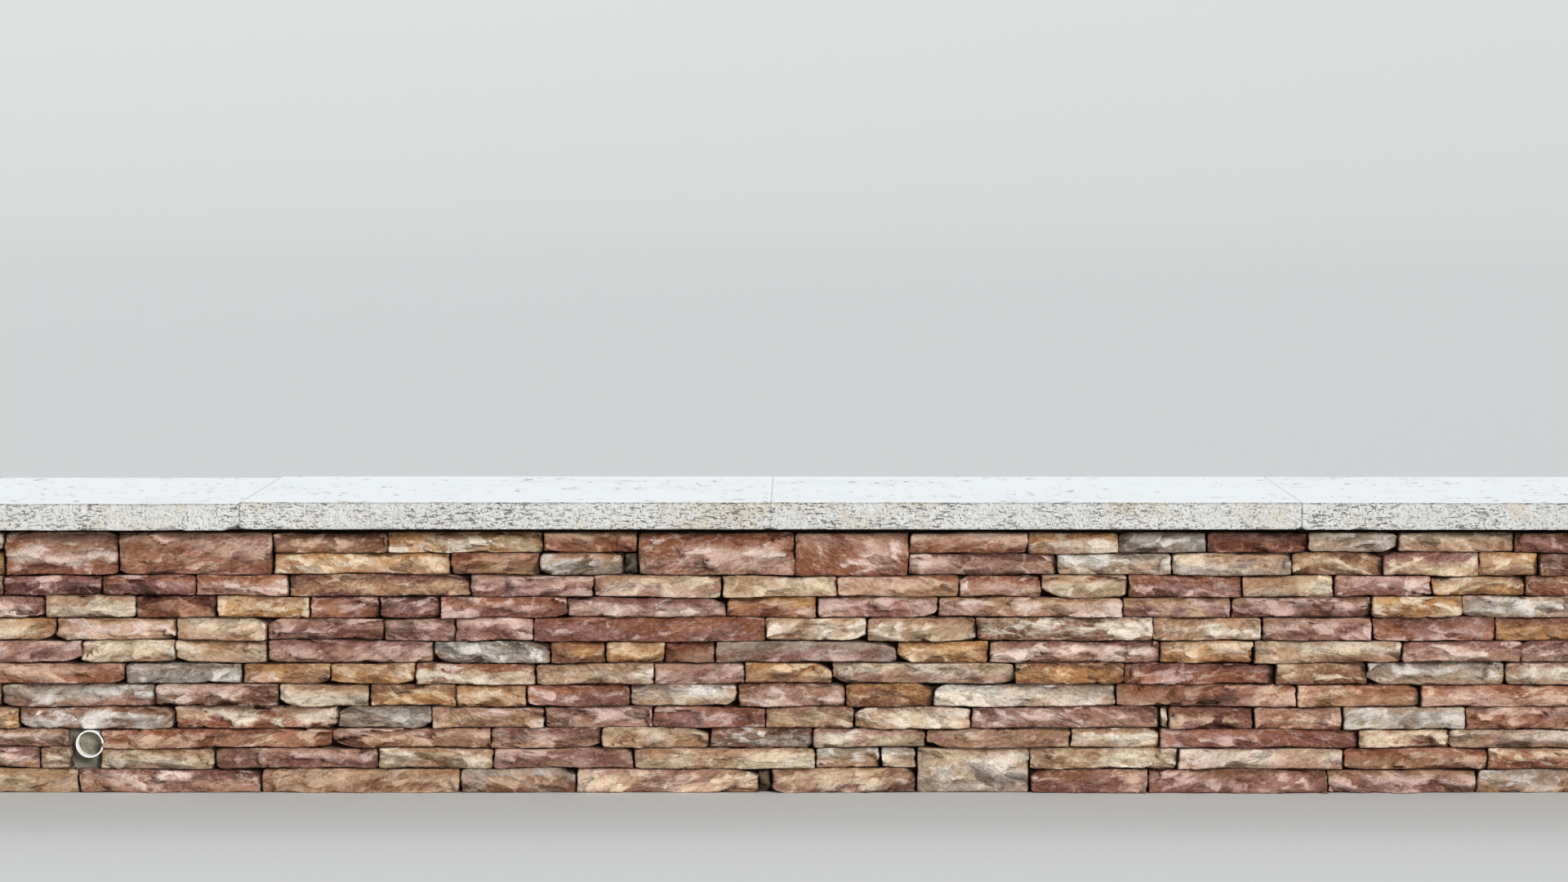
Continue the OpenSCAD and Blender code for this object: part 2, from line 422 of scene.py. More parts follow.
# The rows as they lie on the front, from the top course down. A row starts at a joint, in
# millimetres along the wall, and each stone has its colours and its length. A stone marked tall
# fills two courses, and its hole in the row below is a gap. A stone marked deep is mortar that lies
# back in the joint, and lowLeft and the like name a corner that broke off.
frontRows = {
    12: (-1326,
        "pink+rust 197 tall, rust+pink 269 tall, brown+brown 198, cream+orange 269, "
        "brick+tan 164, pink+rust 271 tall, pink+rust 198 tall, rust+pink 205, cream+orange 157, "
        "grey+grey 153, brick+plum 174, grey+cream 156, tan+cream 201"),
    11: (-1326,
        "gap 466, tan+orange 306, brick+tan 154, grey+tan 147, mortar+mortar 24 deep, gap 469, "
        "pink+plum 256, grey+cream 198, tan+grey 208, tan+brown 157 highRight, "
        "tan+plum 166 highLeft, tan+orange 103"),
    10: (-1329,
        "plum+plum 171, plum+rust 164, pink+rust 160, tan+plum 315 highRight, plum+pink 214, "
        "tan+pink 221, tan+cream 200, rust+tan 210, pink+rust 143 highLeft, tan+cream 150, "
        "plum+rust 198, tan+cream 157, pink+plum 169, tan+orange 163"),
    9: (-1458,
        "pink+plum 200 lowRight, tan+cream 159, brick+brick 139, tan+orange 163, plum+rust 120, "
        "plum+plum 105, plum+rust 221, pink+plum 275 highRight, rust+orange 157, "
        "plum+pink 210 lowRight, pink+tan 319, plum+tan 188, plum+brown 241, tan+orange 159, "
        "grey+cream 208"),
    8: (-1380,
        "tan+orange 144 lowRight, pink+tan 207 lowLeft, tan+cream 157, plum+pink 203 highLeft, "
        "plum+pink 123, plum+pink 136, plum+rust 401, cream+tan 176 lowRight, "
        "cream+tan 190 lowRight, cream+brown 306, cream+tan 188, plum+pink 191, plum+rust 213, "
        "brown+orange 180"),
    7: (-1408,
        "plum+pink 215 lowRight, tan+cream 162, tan+cream 159 lowLeft, plum+pink 288, "
        "grey+grey 203 highRight lowLeft, orange+brown 96, orange+tan 103, brick+brown 86, "
        "plum+grey 315 highRight, tan+orange 160 lowLeft, pink+plum 296, tan+orange 162, "
        "tan+cream 256, pink+pink 208, pink+plum 190"),
    6: (-1400,
        "rust+pink 281 lowRight, grey+grey 204, tan+orange 153 lowRight, tan+orange 147 lowLeft, "
        "cream+rust 208, cream+cream 205, plum+pink 157, orange+tan 152 highRight, "
        "pink+cream 316 lowLeft lowRight, orange+brown 190, plum+rust 261, tan+brown 160, "
        "grey+cream 238, cream+pink 196"),
    5: (-1334,
        "grey+pink 268 lowLeft, pink+brown 214, tan+cream 157, orange+brown 150, tan+orange 122, "
        "plum+rust 180, grey+cream 186 lowRight, pink+brown 187, orange+brown 152 highRight, "
        "cream+grey 317 highLeft, rust+pink 313, rust+tan 214, rust+pink 277"),
    4: (-1463,
        "orange+tan 160, grey+brown 269 highRight, cream+rust 285 lowRight, "
        "grey+grey 162 highLeft lowRight, pink+tan 196, plum+pink 186, plum+rust 197, "
        "tan+brown 153, cream+tan 203 highLeft, pink+plum 327, cream+cream 14, brown+plum 149, "
        "rust+pink 154, grey+cream 213, rust+pink 206"),
    3: (-1390,
        "pink+tan 172, gap 58, brown+rust 400, brown+pink 275 lowLeft, pink+plum 191 lowRight, "
        "tan+cream 190 highRight, grey+brown 177, cream+pink 196, pink+tan 252 lowLeft, "
        "cream+cream 154, plum+rust 344, tan+brown 157, pink+cream 220"),
    2: (-1420,
        "pink+plum 152, cream+cream 57, gap 47, tan+cream 200, plum+pink 283, cream+tan 200, "
        "plum+pink 244, tan+cream 315, grey+tan 113, cream+grey 62, cream+grey 197 tall, "
        "cream+cream 256, pink+cream 288, brown+rust 249"),
    1: (-1401,
        "tan+cream 200, pink+plum 317 highRight, brown+tan 346, brown+grey 201 highRight, "
        "tan+pink 317, joint+joint 21 deep, tan+plum 252 highRight lowLeft, gap 197, "
        "brown+plum 205, plum+brown 312, plum+tan 259, grey+tan 233"),
}

wall = {
    "depth": 70 * mm,  # of a stone, from its face to the core
    "sides": (6 * mm, 16 * mm, 40 * mm),  # steps in which its sides run back
    "seam": 2.4 * mm,  # widest open joint on a stone's bed
    "topGap": 2.2 * mm,  # more between the top course and the coping
    "headJoint": 2.6 * mm,  # open joint between two stones
    "wornIn": (4, 30),  # mm, how far in a corner is worn, least and most
    "wornDown": (0.6, 6.0),  # mm, how far down
    "chip": (34 * mm, 14 * mm),  # a corner that broke off: how far in, how far down
    "chips": 0.04,  # share of the corners that broke off by chance
    "stand": 6.0 * mm,  # how far a whole stone stands in or out
    "deep": 15 * mm,  # how far mortar in a wide joint stands in
    "lean": 3.0 * mm,  # how far a face's ends or its top lean in or out
    "endLean": 2.0 * mm,  # how far an end leans
    "endWave": 2.2 * mm,  # how far it strays from straight
    "footWave": (2.6 * mm, 0.8 * mm),  # broad and fine hollows of its underside
    "topWave": (1.4 * mm, 0.6 * mm),  # and of its top
    "sideWave": 0.8 * mm,  # how uneven its sides are
    "roll": 1.3 * mm,  # radius of its worn edges
    "wave": 3.0 * mm,  # how far a course line strays from level
    "mortarBack": 27 * mm,  # how far the mortar lies back in the joints
    "facet": (64 * mm, 25 * mm),  # usual size of a broken facet
    "crease": 13.0 * mm,  # how far facets stand out
    "swell": 2.0 * mm,  # broad unevenness of a face
    "grit": 1.1 * mm,  # fine unevenness
    "deepest": 10 * mm,  # most that a face falls back
    "edgeShade": 2 * mm,  # how far in from its edges the painted shade and grime reach
    "rim": 16 * mm,  # how far in from its edges its colour is deeper
    "courseShift": (0, 4, 4, -1, -1, 0, -1, 0, 2, 0, 0, 0.5, 0),  # mm, by the line, foot to top
    "frontGrid": (5.2 * mm, 3.4 * mm),
    "backGrid": (9.5 * mm, 5.8 * mm),
    "shortest": 90 * mm,  # stones that fill the rows that are not listed
    "longest": 330 * mm,
    "tall": (0.14, 0.24),  # metres, width of a stone two courses high
}

usualTones = (
    "tan+orange tan+cream tan+rust tan+pink tan+plum cream+tan orange+tan rust+tan rust+plum "
    "rust+brown plum+tan plum+rust plum+pink plum+brown pink+tan pink+plum grey+tan "
    "grey+cream brown+plum brown+tan").split()


class Row:
    # a straight course of stones, drawn with its faces to -Y and turned into place afterwards
    def __init__(self, course, left, right, levels, seed, grid, waveKey):
        self.course, self.left, self.right = course, left, right
        self.levels, self.grid, self.waveKey = levels, grid, waveKey
        self.rng = random.Random(seed)
        self.stones = []     # (left, right, tone, courses high, marks)
        self.holes = []      # (left, right)


def lineAt(row, line, x):
    # height of a course line along the wall: the foot and the top are level
    z = row.levels[line]
    if 0 < line < len(row.levels) - 1:
        z += wall["wave"] * ripple(x * 2.6, line * 3.7, row.waveKey)
        z += 0.8 * wall["wave"] * ripple(x * 8.0, line * 5.1, row.waveKey + 7)
    return z


def layByHand(row, start, words):
    x = start * mm
    for word in words.split(", "):
        tone, length, *marks = word.split()
        stop = x + int(length) * mm
        if tone == "gap":
            row.holes.append((x, stop))
        else:
            row.stones.append((x, stop, tone, 2 if "tall" in marks else 1, marks))
        x = stop


def fillBetween(row, left, right, below):
    # stones of chance lengths that break joint with the row below
    rng = row.rng
    shortest, longest = wall["shortest"], wall["longest"]
    x = left
    while right - x > tiny:
        best = None
        for attempt in range(8):
            stop = x + (shortest + (longest - shortest) * rng.random() ** 1.5)
            if right - stop < shortest:
                stop = right
            off = min([abs(stop - joint) for joint in below] or [1.0])
            if best is None or off > best[0]:
                best = (off, stop)
            if off > 0.035 or stop == right:
                break
        stop = best[1]
        if stop - x > longest * 1.25:
            stop = x + (stop - x) / 2
        row.stones.append((x, stop, rng.choice(usualTones), 1, []))
        x = stop


def freeRuns(row):
    # the stretches of the row that hold no stone and no hole yet
    taken = sorted([s[:2] for s in row.stones] + row.holes)
    x = row.left
    for left, right in taken:
        if left - x > tiny:
            yield x, left
        x = max(x, right)
    if row.right - x > tiny:
        yield x, row.right


def cleft(rng, length, height):
    # the broken face of one stone: planes that meet in ridges, as (x, z, slope x, slope z, out)
    ridge = rng.uniform(0.35, 0.65) * height
    tilt = rng.uniform(-0.03, 0.03)
    planes = [
        (0, ridge, tilt, rng.uniform(-0.02, 0.30), 0),
        (0, ridge, tilt, rng.uniform(-0.45, -0.12), rng.uniform(0, 1.0 * mm)),
    ]
    for n in range(rng.choice((1, 1, 2, 3))):
        planes.append((
            rng.uniform(-0.5, 0.5) * length, rng.uniform(0.1, 0.9) * height,
            rng.uniform(-0.18, 0.18), rng.uniform(-0.6, 0.6), rng.uniform(0, 4) * mm))
    return planes


def scoops(rng, length, height):
    # shells struck off along the stone's edges, as (x, z, half length, half height, depth)
    made = []
    for n in range(rng.choice((0, 1, 2, 2, 3)) + round(length / 0.16)):
        atTop = rng.random() < 0.35
        x = rng.uniform(-0.5, 0.5) * length
        z = height * (rng.uniform(0.8, 1.1) if atTop else rng.uniform(-0.1, 0.3))
        made.append((x, z, rng.uniform(16, 55) * mm, rng.uniform(8, 22) * mm,
                     rng.uniform(2.5, 8) * mm))
    return made


def brokenFacet(x, z, key):
    # one facet of the rough rock at this place: how far it stands out, and how far it looks up
    place = Vector((x / wall["facet"][0], z / wall["facet"][1], key))
    place += 0.3 * noise.noise_vector(place * 1.4)
    middle = noise.voronoi(place)[1][0]
    own = noise.cell_vector(middle * 37)
    away = place - middle
    out = 0.6 * (own.x - 0.5) + 1.7 * ((own.y - 0.5) * away.x + (own.z - 0.5) * away.y)
    return out, 0.5 - own.z


def stoneTones(rng, tone):
    # the main, stain and bloom colours of one stone
    main, stain = tone.split("+")
    light = rng.uniform(0.95, 1.11)
    tones = [srgb(*stoneColours[main][0]),
             srgb(*stoneColours[stain][0 if stain != main else 1]),
             srgb(*stoneColours[main][2])]
    first = [c * light * rng.uniform(0.97, 1.03) for c in tones[0][:3]] + [1]
    return [first] + [[c * light for c in t[:3]] + [1] for t in tones[1:]]


def addStone(bm, layers, row, left, right, tone, tall, marks):
    rng = row.rng
    low, high = row.course - tall, row.course
    length = right - left
    height = row.levels[high] - row.levels[low]
    middle = (left + right) / 2
    cols = max(5, round(length / row.grid[0]))
    rows = max(5, round(height / row.grid[1]))
    verts, rim = uprightGrid(bm, cols, rows, math.pi / 2)
    for step in wall["sides"]:
        moved, rim = extrudeRing(bm, rim)
        bmesh.ops.translate(bm, verts=moved, vec=(0, step, 0))
        verts += moved
    bmesh.ops.contextual_create(bm, geom=rim)

    key = rng.uniform(0, 900)
    joint = wall["headJoint"]
    leftGap = 0.0 if left <= row.left + tiny else joint * rng.uniform(0.25, 0.8)
    rightGap = 0.0 if right >= row.right - tiny else joint * rng.uniform(0.25, 0.8)
    leftLean, rightLean = (rng.uniform(-1, 1) * wall["endLean"] for n in range(2))
    # a stone lies a little askew: its bed joints at low left, low right, high left, high right
    seams = [wall["seam"] * rng.random() ** 1.6 for n in range(4)]
    # its corners in the same order: how far in, how far down, and whether it broke off
    least, most = wall["wornDown"]
    wear = [(rng.uniform(*wall["wornIn"]) * mm,
             (least + (most - least) * rng.random() ** 3) * mm, False) for n in range(4)]
    chipReach, chipDepth = wall["chip"]
    for n, corner in enumerate(("lowLeft", "lowRight", "highLeft", "highRight")):
        if corner in marks or (rng.random() < wall["chips"] and length > 0.12):
            wear[n] = (chipReach * rng.uniform(0.6, 1.2), chipDepth * rng.uniform(0.5, 1.0), True)
    planes = cleft(rng, length, height)
    shells = scoops(rng, length, height)
    stand = -wall["deep"] if "deep" in marks else rng.uniform(-1, 1) * wall["stand"]
    leanX, leanZ = (rng.uniform(-1, 1) * wall["lean"] for n in range(2))
    roll = wall["roll"] * rng.uniform(0.7, 1.3)
    rough = rng.uniform(0.5, 1.5)
    slant = rng.choice((-0.7, 0.7))
    rimWide = wall["rim"] * rng.uniform(0.5, 1.4)
    colours = stoneTones(rng, tone)
    shift = (rng.uniform(0, 40), rng.uniform(0, 40), rng.uniform(0, 40), 1)
    bandWay = rng.choice((-1, 1, 1)) * rng.uniform(0.3, 1.0)

    def drop(x, corner, fromEnd):
        reach, depth, broken = wear[corner]
        if fromEnd >= reach:
            return 0.0
        share = 1 - fromEnd / reach
        if not broken:
            return depth * (1 - math.sqrt(1 - share ** 2))
        ragged = 1.5 * mm * share * ripple(x * 110, corner, key)
        return depth * share ** 1.7 * (1 + 0.3 * ripple(x * 45, corner, key)) + ragged

    def seamAt(first, u, x, where):
        wide = seams[first] + (seams[first + 1] - seams[first]) * u
        return wide * clamp(0.5 + 1.6 * ripple(x * 14, where, key))

    def outline(u, w):
        # the stone's ends at this height, the place between them, and its foot and top there
        x = left + u * length
        xLow = left + leftGap + leftLean * (w - 0.5)
        xHigh = right - rightGap + rightLean * (w - 0.5)
        if leftGap:
            xLow += wall["endWave"] * ripple(x * 3, w * 3.5, key)
        if rightGap:
            xHigh -= wall["endWave"] * ripple(x * 3, w * 3.5, key + 5)
        x = xLow + (xHigh - xLow) * u
        fromLeft, fromRight = max(0.0, x - xLow), max(0.0, xHigh - x)
        seamLow, seamHigh = seamAt(0, u, x, 1.0), seamAt(2, u, x, 6.0)
        zLow = lineAt(row, low, x) + seamLow + drop(x, 0, fromLeft) + drop(x, 1, fromRight)
        zHigh = lineAt(row, high, x) - seamHigh - drop(x, 2, fromLeft) - drop(x, 3, fromRight)
        broad, fine = wall["footWave"]
        zLow += broad * max(0.0, ripple(x * 17, 3, key)) + fine * ripple(x * 75, 5, key)
        broad, fine = wall["topWave"]
        zHigh -= broad * max(0.0, ripple(x * 24, 9, key)) + fine * ripple(x * 75, 7, key)
        if high == courses:
            zHigh -= wall["topGap"]
        if low == 0:
            zLow = max(zLow - seamLow, 0.0)
        return x, fromLeft, fromRight, zLow, min(zHigh, row.levels[-1] - 0.5 * mm)

    for v in verts:
        u, w, back = crowd(v.co.x + 0.5, 0.45), crowd(v.co.z + 0.5, 0.55), v.co.y
        x, fromLeft, fromRight, zLow, zHigh = outline(u, w)
        z = zLow + (zHigh - zLow) * w
        if back > 1 * mm:
            # sides: fixed depths behind the worn edge, a little uneven
            inward = wall["sideWave"] * ripple(x * 24, back * 60 + z * 24, key + 11)
            out = wall["depth"] + stand - roll - back
            out = max(0.0, min(out, wall["depth"] - back + 1 * mm))
            v.co = Vector((x + (inward if 0.02 < u < 0.98 else 0), -out, z))
            # the sides are painted dark as shade in the joints
            v[layers["facts"]] = (0.2, 0.8, 0.5, 1.0)
        else:
            dx, dz = x - middle, z - zLow
            face = min(p[4] + p[2] * (dx - p[0]) + p[3] * (dz - p[1]) for p in planes)
            face = max(face, -wall["deepest"])
            line = 0.0
            for midX, midZ, wide, tall, depth in shells:
                off = ((dx - midX) / wide) ** 2 + ((dz - midZ) / tall) ** 2
                face -= depth * max(0.0, 1 - off)
                line = max(line, 1 - abs(off - 1) / 0.35)
            swell = wall["swell"] * rough * ripple(x * 12, z * 26, key)
            broken, looksUp = brokenFacet(x + z * slant, z, key)
            crease = wall["crease"] * rough * broken
            grit = wall["grit"] * ripple(x * 70, z * 100, key + 8)
            relief = face + swell + crease + grit + leanX * (u - 0.5) + leanZ * (w - 0.5)
            near = min(fromLeft if leftGap else 1, fromRight if rightGap else 1,
                       z - zLow, zHigh - z)
            near = max(0.0, near)
            fall = rounded(roll * (1 + 0.5 * ripple(x * 40, z * 40, key + 13)), near)
            v.co = Vector((x, -(wall["depth"] + stand + relief - fall), z))
            # how far the face stands out and looks up, with the scoops' outlines as pale dust: the
            # shader paints it paler there as highlight, and darker where it falls back or looks down
            # as shade
            crestDustAndLight = clamp(0.40 + (swell + crease + grit + face + 2 * mm) / (14 * mm)
                          + 0.30 * line + 0.55 * looksUp)
            # painted shade along the edges, for the joints
            edgeShade = clamp(1 - near / wall["edgeShade"]) ** 1.5
            rimShare = clamp(1 - near / rimWide) ** 1.3
            # the stained band: most along the top or the foot, and little of it lower down
            band = clamp(0.5 + bandWay * (1.3 * w * abs(w) - 0.45))
            v[layers["facts"]] = (crestDustAndLight, edgeShade, band, rimShare)
        v[layers["main"]], v[layers["stain"]], v[layers["bloom"]] = colours
        v[layers["shift"]] = shift


def stoneLayers(bm):
    return {key: bm.verts.layers.float_color.new("stone" + key.capitalize())
            for key in ("main", "stain", "bloom", "shift", "facts")}


def addMortar(bm, layers, row, left, right):
    # a strip of dark mortar behind the joints of a row
    low, high = row.levels[row.course - 1], row.levels[row.course]
    thick = wall["depth"] - wall["mortarBack"]
    made = bmesh.ops.create_cube(bm, size=1)["verts"]
    bmesh.ops.scale(bm, verts=made, vec=(right - left, thick, high - low))
    bmesh.ops.translate(bm, verts=made, vec=((left + right) / 2, -thick / 2, (low + high) / 2))
    for v in made:
        for key, n in (("main", 0), ("stain", 1), ("bloom", 0)):
            v[layers[key]] = srgb(*stoneColours["joint"][n])
        # the strip gets the painted shade of the joints
        v[layers["facts"]] = (0.2, 1.0, 0.5, 1.0)


def buildRow(name, row, place, node):
    bm = bmesh.new()
    layers = stoneLayers(bm)
    for stone in sorted(row.stones):
        addStone(bm, layers, row, *stone)
    x = row.left + wall["mortarBack"]
    stop = row.right - wall["mortarBack"]
    for left, right in sorted(row.holes) + [(stop, stop)]:
        if left > x:
            addMortar(bm, layers, row, x, left)
        x = max(x, right)
    bmesh.ops.transform(bm, matrix=place, verts=bm.verts[:])
    piece = newPiece(name, bm, ledgestone)
    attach(piece, "root")
    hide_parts(node)


def jointsOf(row):
    return [s[0] for s in row.stones] + [s[1] for s in row.stones]


def meets(left, right, holes):
    return any(left < h[1] and right > h[0] for h in holes)


courses = 12
courseBoxes = {n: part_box(f"front_course_{n:02d}") for n in range(1, courses + 1)}
coreFace = abs(courseBoxes[1][1].y)
evenLevels = [courseBoxes[n][0].z for n in range(1, courses + 1)] + [courseBoxes[courses][1].z]
levels = [z + shift * mm for z, shift in zip(evenLevels, wall["courseShift"])]
pipeBoxes = {side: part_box(f"{side}_weep_pipe") for side in ("left", "right")}
print("courses from", round(evenLevels[0], 4), "to", round(evenLevels[-1], 4))


def pipeHoles(course, turned):
    # the rows that a pipe goes through leave a hole for it
    holes = []
    room = 5 * mm
    for box in pipeBoxes.values():
        if evenLevels[course - 1] < box[1].z and evenLevels[course] > box[0].z:
            left, right = box[0].x - room, box[1].x + room
            holes.append((-right, -left) if turned else (left, right))
    return holes


def layLongFace(side, seed, turned, byHand, grid):
    below = []
    tallHoles = []
    rows = {}
    for course in range(courses, 0, -1):
        low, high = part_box(f"{side}_course_{course:02d}")
        row = Row(course, low.x, high.x, levels, seed + course, grid, seed * 1.7)
        if turned:
            row.left, row.right = -high.x, -low.x
        if course in byHand:
            layByHand(row, *byHand[course])
        row.holes += [h for h in pipeHoles(course, turned) if not meets(*h, row.holes)]
        row.holes += tallHoles
        tallHoles = []
        if course not in byHand and row.rng.random() < 0.45 and course > 1:
            x = row.rng.uniform(row.left + 0.3, row.right - 0.6)
            stop = x + row.rng.uniform(*wall["tall"])
            if not meets(x, stop, row.holes + pipeHoles(course - 1, turned)):
                row.stones.append((x, stop, row.rng.choice(usualTones), 2, []))
                tallHoles.append((x, stop))
        for left, right in list(freeRuns(row)):
            fillBetween(row, left, right, below)
        below = jointsOf(row)
        rows[course] = row
    place = Matrix.Rotation(math.pi if turned else 0, 4, "Z")
    place = place @ Matrix.Translation((0, -coreFace, 0))
    for course, row in rows.items():
        buildRow(f"{side}Course{course:02d}", row, place, f"{side}_course_{course:02d}")
    print(side, "face laid:", sum(len(r.stones) for r in rows.values()), "stones")


layLongFace("front", 31, False, frontRows, wall["frontGrid"])
layLongFace("back", 67, True, {}, wall["backGrid"])


def layEnd(side, seed, turn):
    # an end's rows lie between the long faces, and run out to them in the even courses
    face = coreFace + wall["depth"]
    coreEnd = abs(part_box("front_course_02")[0].x)
    bm = bmesh.new()
    layers = stoneLayers(bm)
    below = []
    for course in range(courses, 0, -1):
        half = coreFace if course % 2 else face
        row = Row(course, -half, half, levels, seed + course, wall["backGrid"], seed * 1.7)
        fillBetween(row, -half, half, below)
        below = jointsOf(row)
        for stone in row.stones:
            addStone(bm, layers, row, *stone)
        addMortar(bm, layers, row, -coreFace, coreFace)
    place = Matrix.Rotation(turn, 4, "Z") @ Matrix.Translation((0, -coreEnd, 0))
    bmesh.ops.transform(bm, matrix=place, verts=bm.verts[:])
    piece = newPiece(f"{side}EndFacing", bm, ledgestone)
    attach(piece, "root")
    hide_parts(f"{side}_end_facing")


layEnd("left", 113, -math.pi / 2)
layEnd("right", 151, math.pi / 2)
print("ends laid")


# coping slabs

coping = {
    "columns": 200,  # cuts along a slab
    "rows": 11,  # cuts up its edge
    "strips": 24,  # cuts across its top
    "topRoll": 5 * mm,  # worn top arris
    "innerRoll": 0.08,  # share of that roll beside a joint
    "topWave": (0.25 * mm, 0.15 * mm),  # broad and fine unevenness of the sawn top
    "nick": (3.5 * mm, 6 * mm),  # deepest nick in the top arris, and how far down it shows
    "footBite": 4.5 * mm,  # deepest bite out of the lower arris
    "biteReach": (12 * mm, 14 * mm),  # how far in and how far up it shows
    "crumble": 1.2 * mm,  # smaller losses of edge and foot
    "pitDepth": 2.6 * mm,
    "cornerChip": (26 * mm, 9 * mm),  # along the slab, and up it
    "chipDepth": 15 * mm,
    # each joint, left to right: how far mortar closes it from either side in mm, how dirty it
    # is, and how much of a chip its left and its right slab have lost at the foot
    "joints": ((1.35, 0.5, 0.6, 0.3), (1.45, 0.35, 1.0, 0.3), (1.5, 0.0, 0.3, 0.2),
               (1.45, 0.2, 0.4, 0.3), (1.35, 0.4, 0.3, 0.8)),
    "outerChip": 0.6,  # the same share at the wall's two ends
}

copingLook = {
    "stone": ((238, 236, 232), (246, 245, 243)),
    "warm": (228, 213, 189),
    "top": (243, 247, 249),
    "hollowShade": (188, 178, 160),
    "fines": (176, 170, 158),
    "crumbs": (250, 250, 247),
    "pits": (104, 92, 76),
    "scores": (136, 136, 133),
    "drift": (208, 212, 212),
    "speckle": (150, 146, 138),
    "joint": (138, 136, 130),
    "relief": 7.5 * mm,
}


def makeCopingStone():
    look = copingLook
    material, s, skin = newMaterial("copingStone")
    place = s.place()
    dirt = s.attribute("jointDirtAndChipShade")["Fac"]
    up = s.add("SeparateXYZ", {0: s.add("NewGeometry").outputs["True Normal"]}).outputs[2]
    onTop = s.ramp(up, 0.55, 0.85)
    offTop = s.minus(1, onTop)
    pits = s.group(pitGroup, Vector=place)
    grain = s.group(grainGroup, Vector=place, Size=0.8)
    warm = s.ramp(s.noise(place, 8, 6, 0.7), 0.50, 0.64, 0, 0.75)
    # the broken edge: fine grey between white grains, painted shade in its hollows, and open pits
    hollowShade = s.ramp(pits["Height"], 0.34, 0.52, 0.32, 0)
    fines = s.ramp(s.noise(place, 330, 3, 0.7), 0.34, 0.52, 0.4, 0)
    crumbs = s.ramp(s.noise(place, 300, 3, 0.65), 0.52, 0.64, 0, 0.8)
    # the sawn top: short dark scores in clusters along the slab, and faint drifts of dirt
    scores = s.ramp(s.noise(place, (46, 40, 46), 4, 0.6, 0.3), 0.61, 0.67)
    cluster = s.ramp(s.noise(place, (4, 9, 9), 3, 0.6), 0.42, 0.56)
    scores = s.times(s.times(scores, onTop), cluster)
    drift = s.ramp(s.noise(place, (5, 9, 9), 7, 0.7), 0.5, 0.75, 0, 0.3)
    masks = {
        "warm": s.times(warm, offTop),
        # the top is whiter and bluer: its clean sawn face, and painted sky light from above
        "top": s.times(onTop, 0.85),
        "hollowShade": s.times(hollowShade, offTop),
        "fines": s.times(fines, offTop),
        "crumbs": s.times(crumbs, offTop),
        # the open pits and gouges are painted dark as shade
        "pits": s.times(s.times(pits["Pits"], offTop), 0.75),
        "scores": s.times(scores, 0.8),
        "drift": s.times(drift, onTop),
        "speckle": s.times(grain["Speckle"], 0.14),
        # dirt in the joints, and painted shade in the chipped hollows
        "joint": s.times(dirt, s.ramp(s.noise(place, 60, 4, 0.6), 0.3, 0.6, 0.35, 0.9)),
    }
    colour = s.blend(s.ramp(s.noise(place, 5, 6, 0.66), 0.38, 0.62), *look["stone"])
    for name, mask in masks.items():
        colour = s.blend(mask, colour, look[name])
    height = s.times(pits["Height"], s.ramp(up, 0.55, 0.85, 1, 0.06))
    height = s.plus(height, s.times(grain["Height"], 0.25))
    height = s.minus(height, s.times(scores, 0.3))
    rough = s.ramp(grain["Height"], 0.3, 0.7, 0.80, 0.96)
    s.dress(skin, colour, rough, height, look["relief"], shine=0.25)
    return material


copingStone = makeCopingStone()
slabs = len(coping["joints"]) + 1


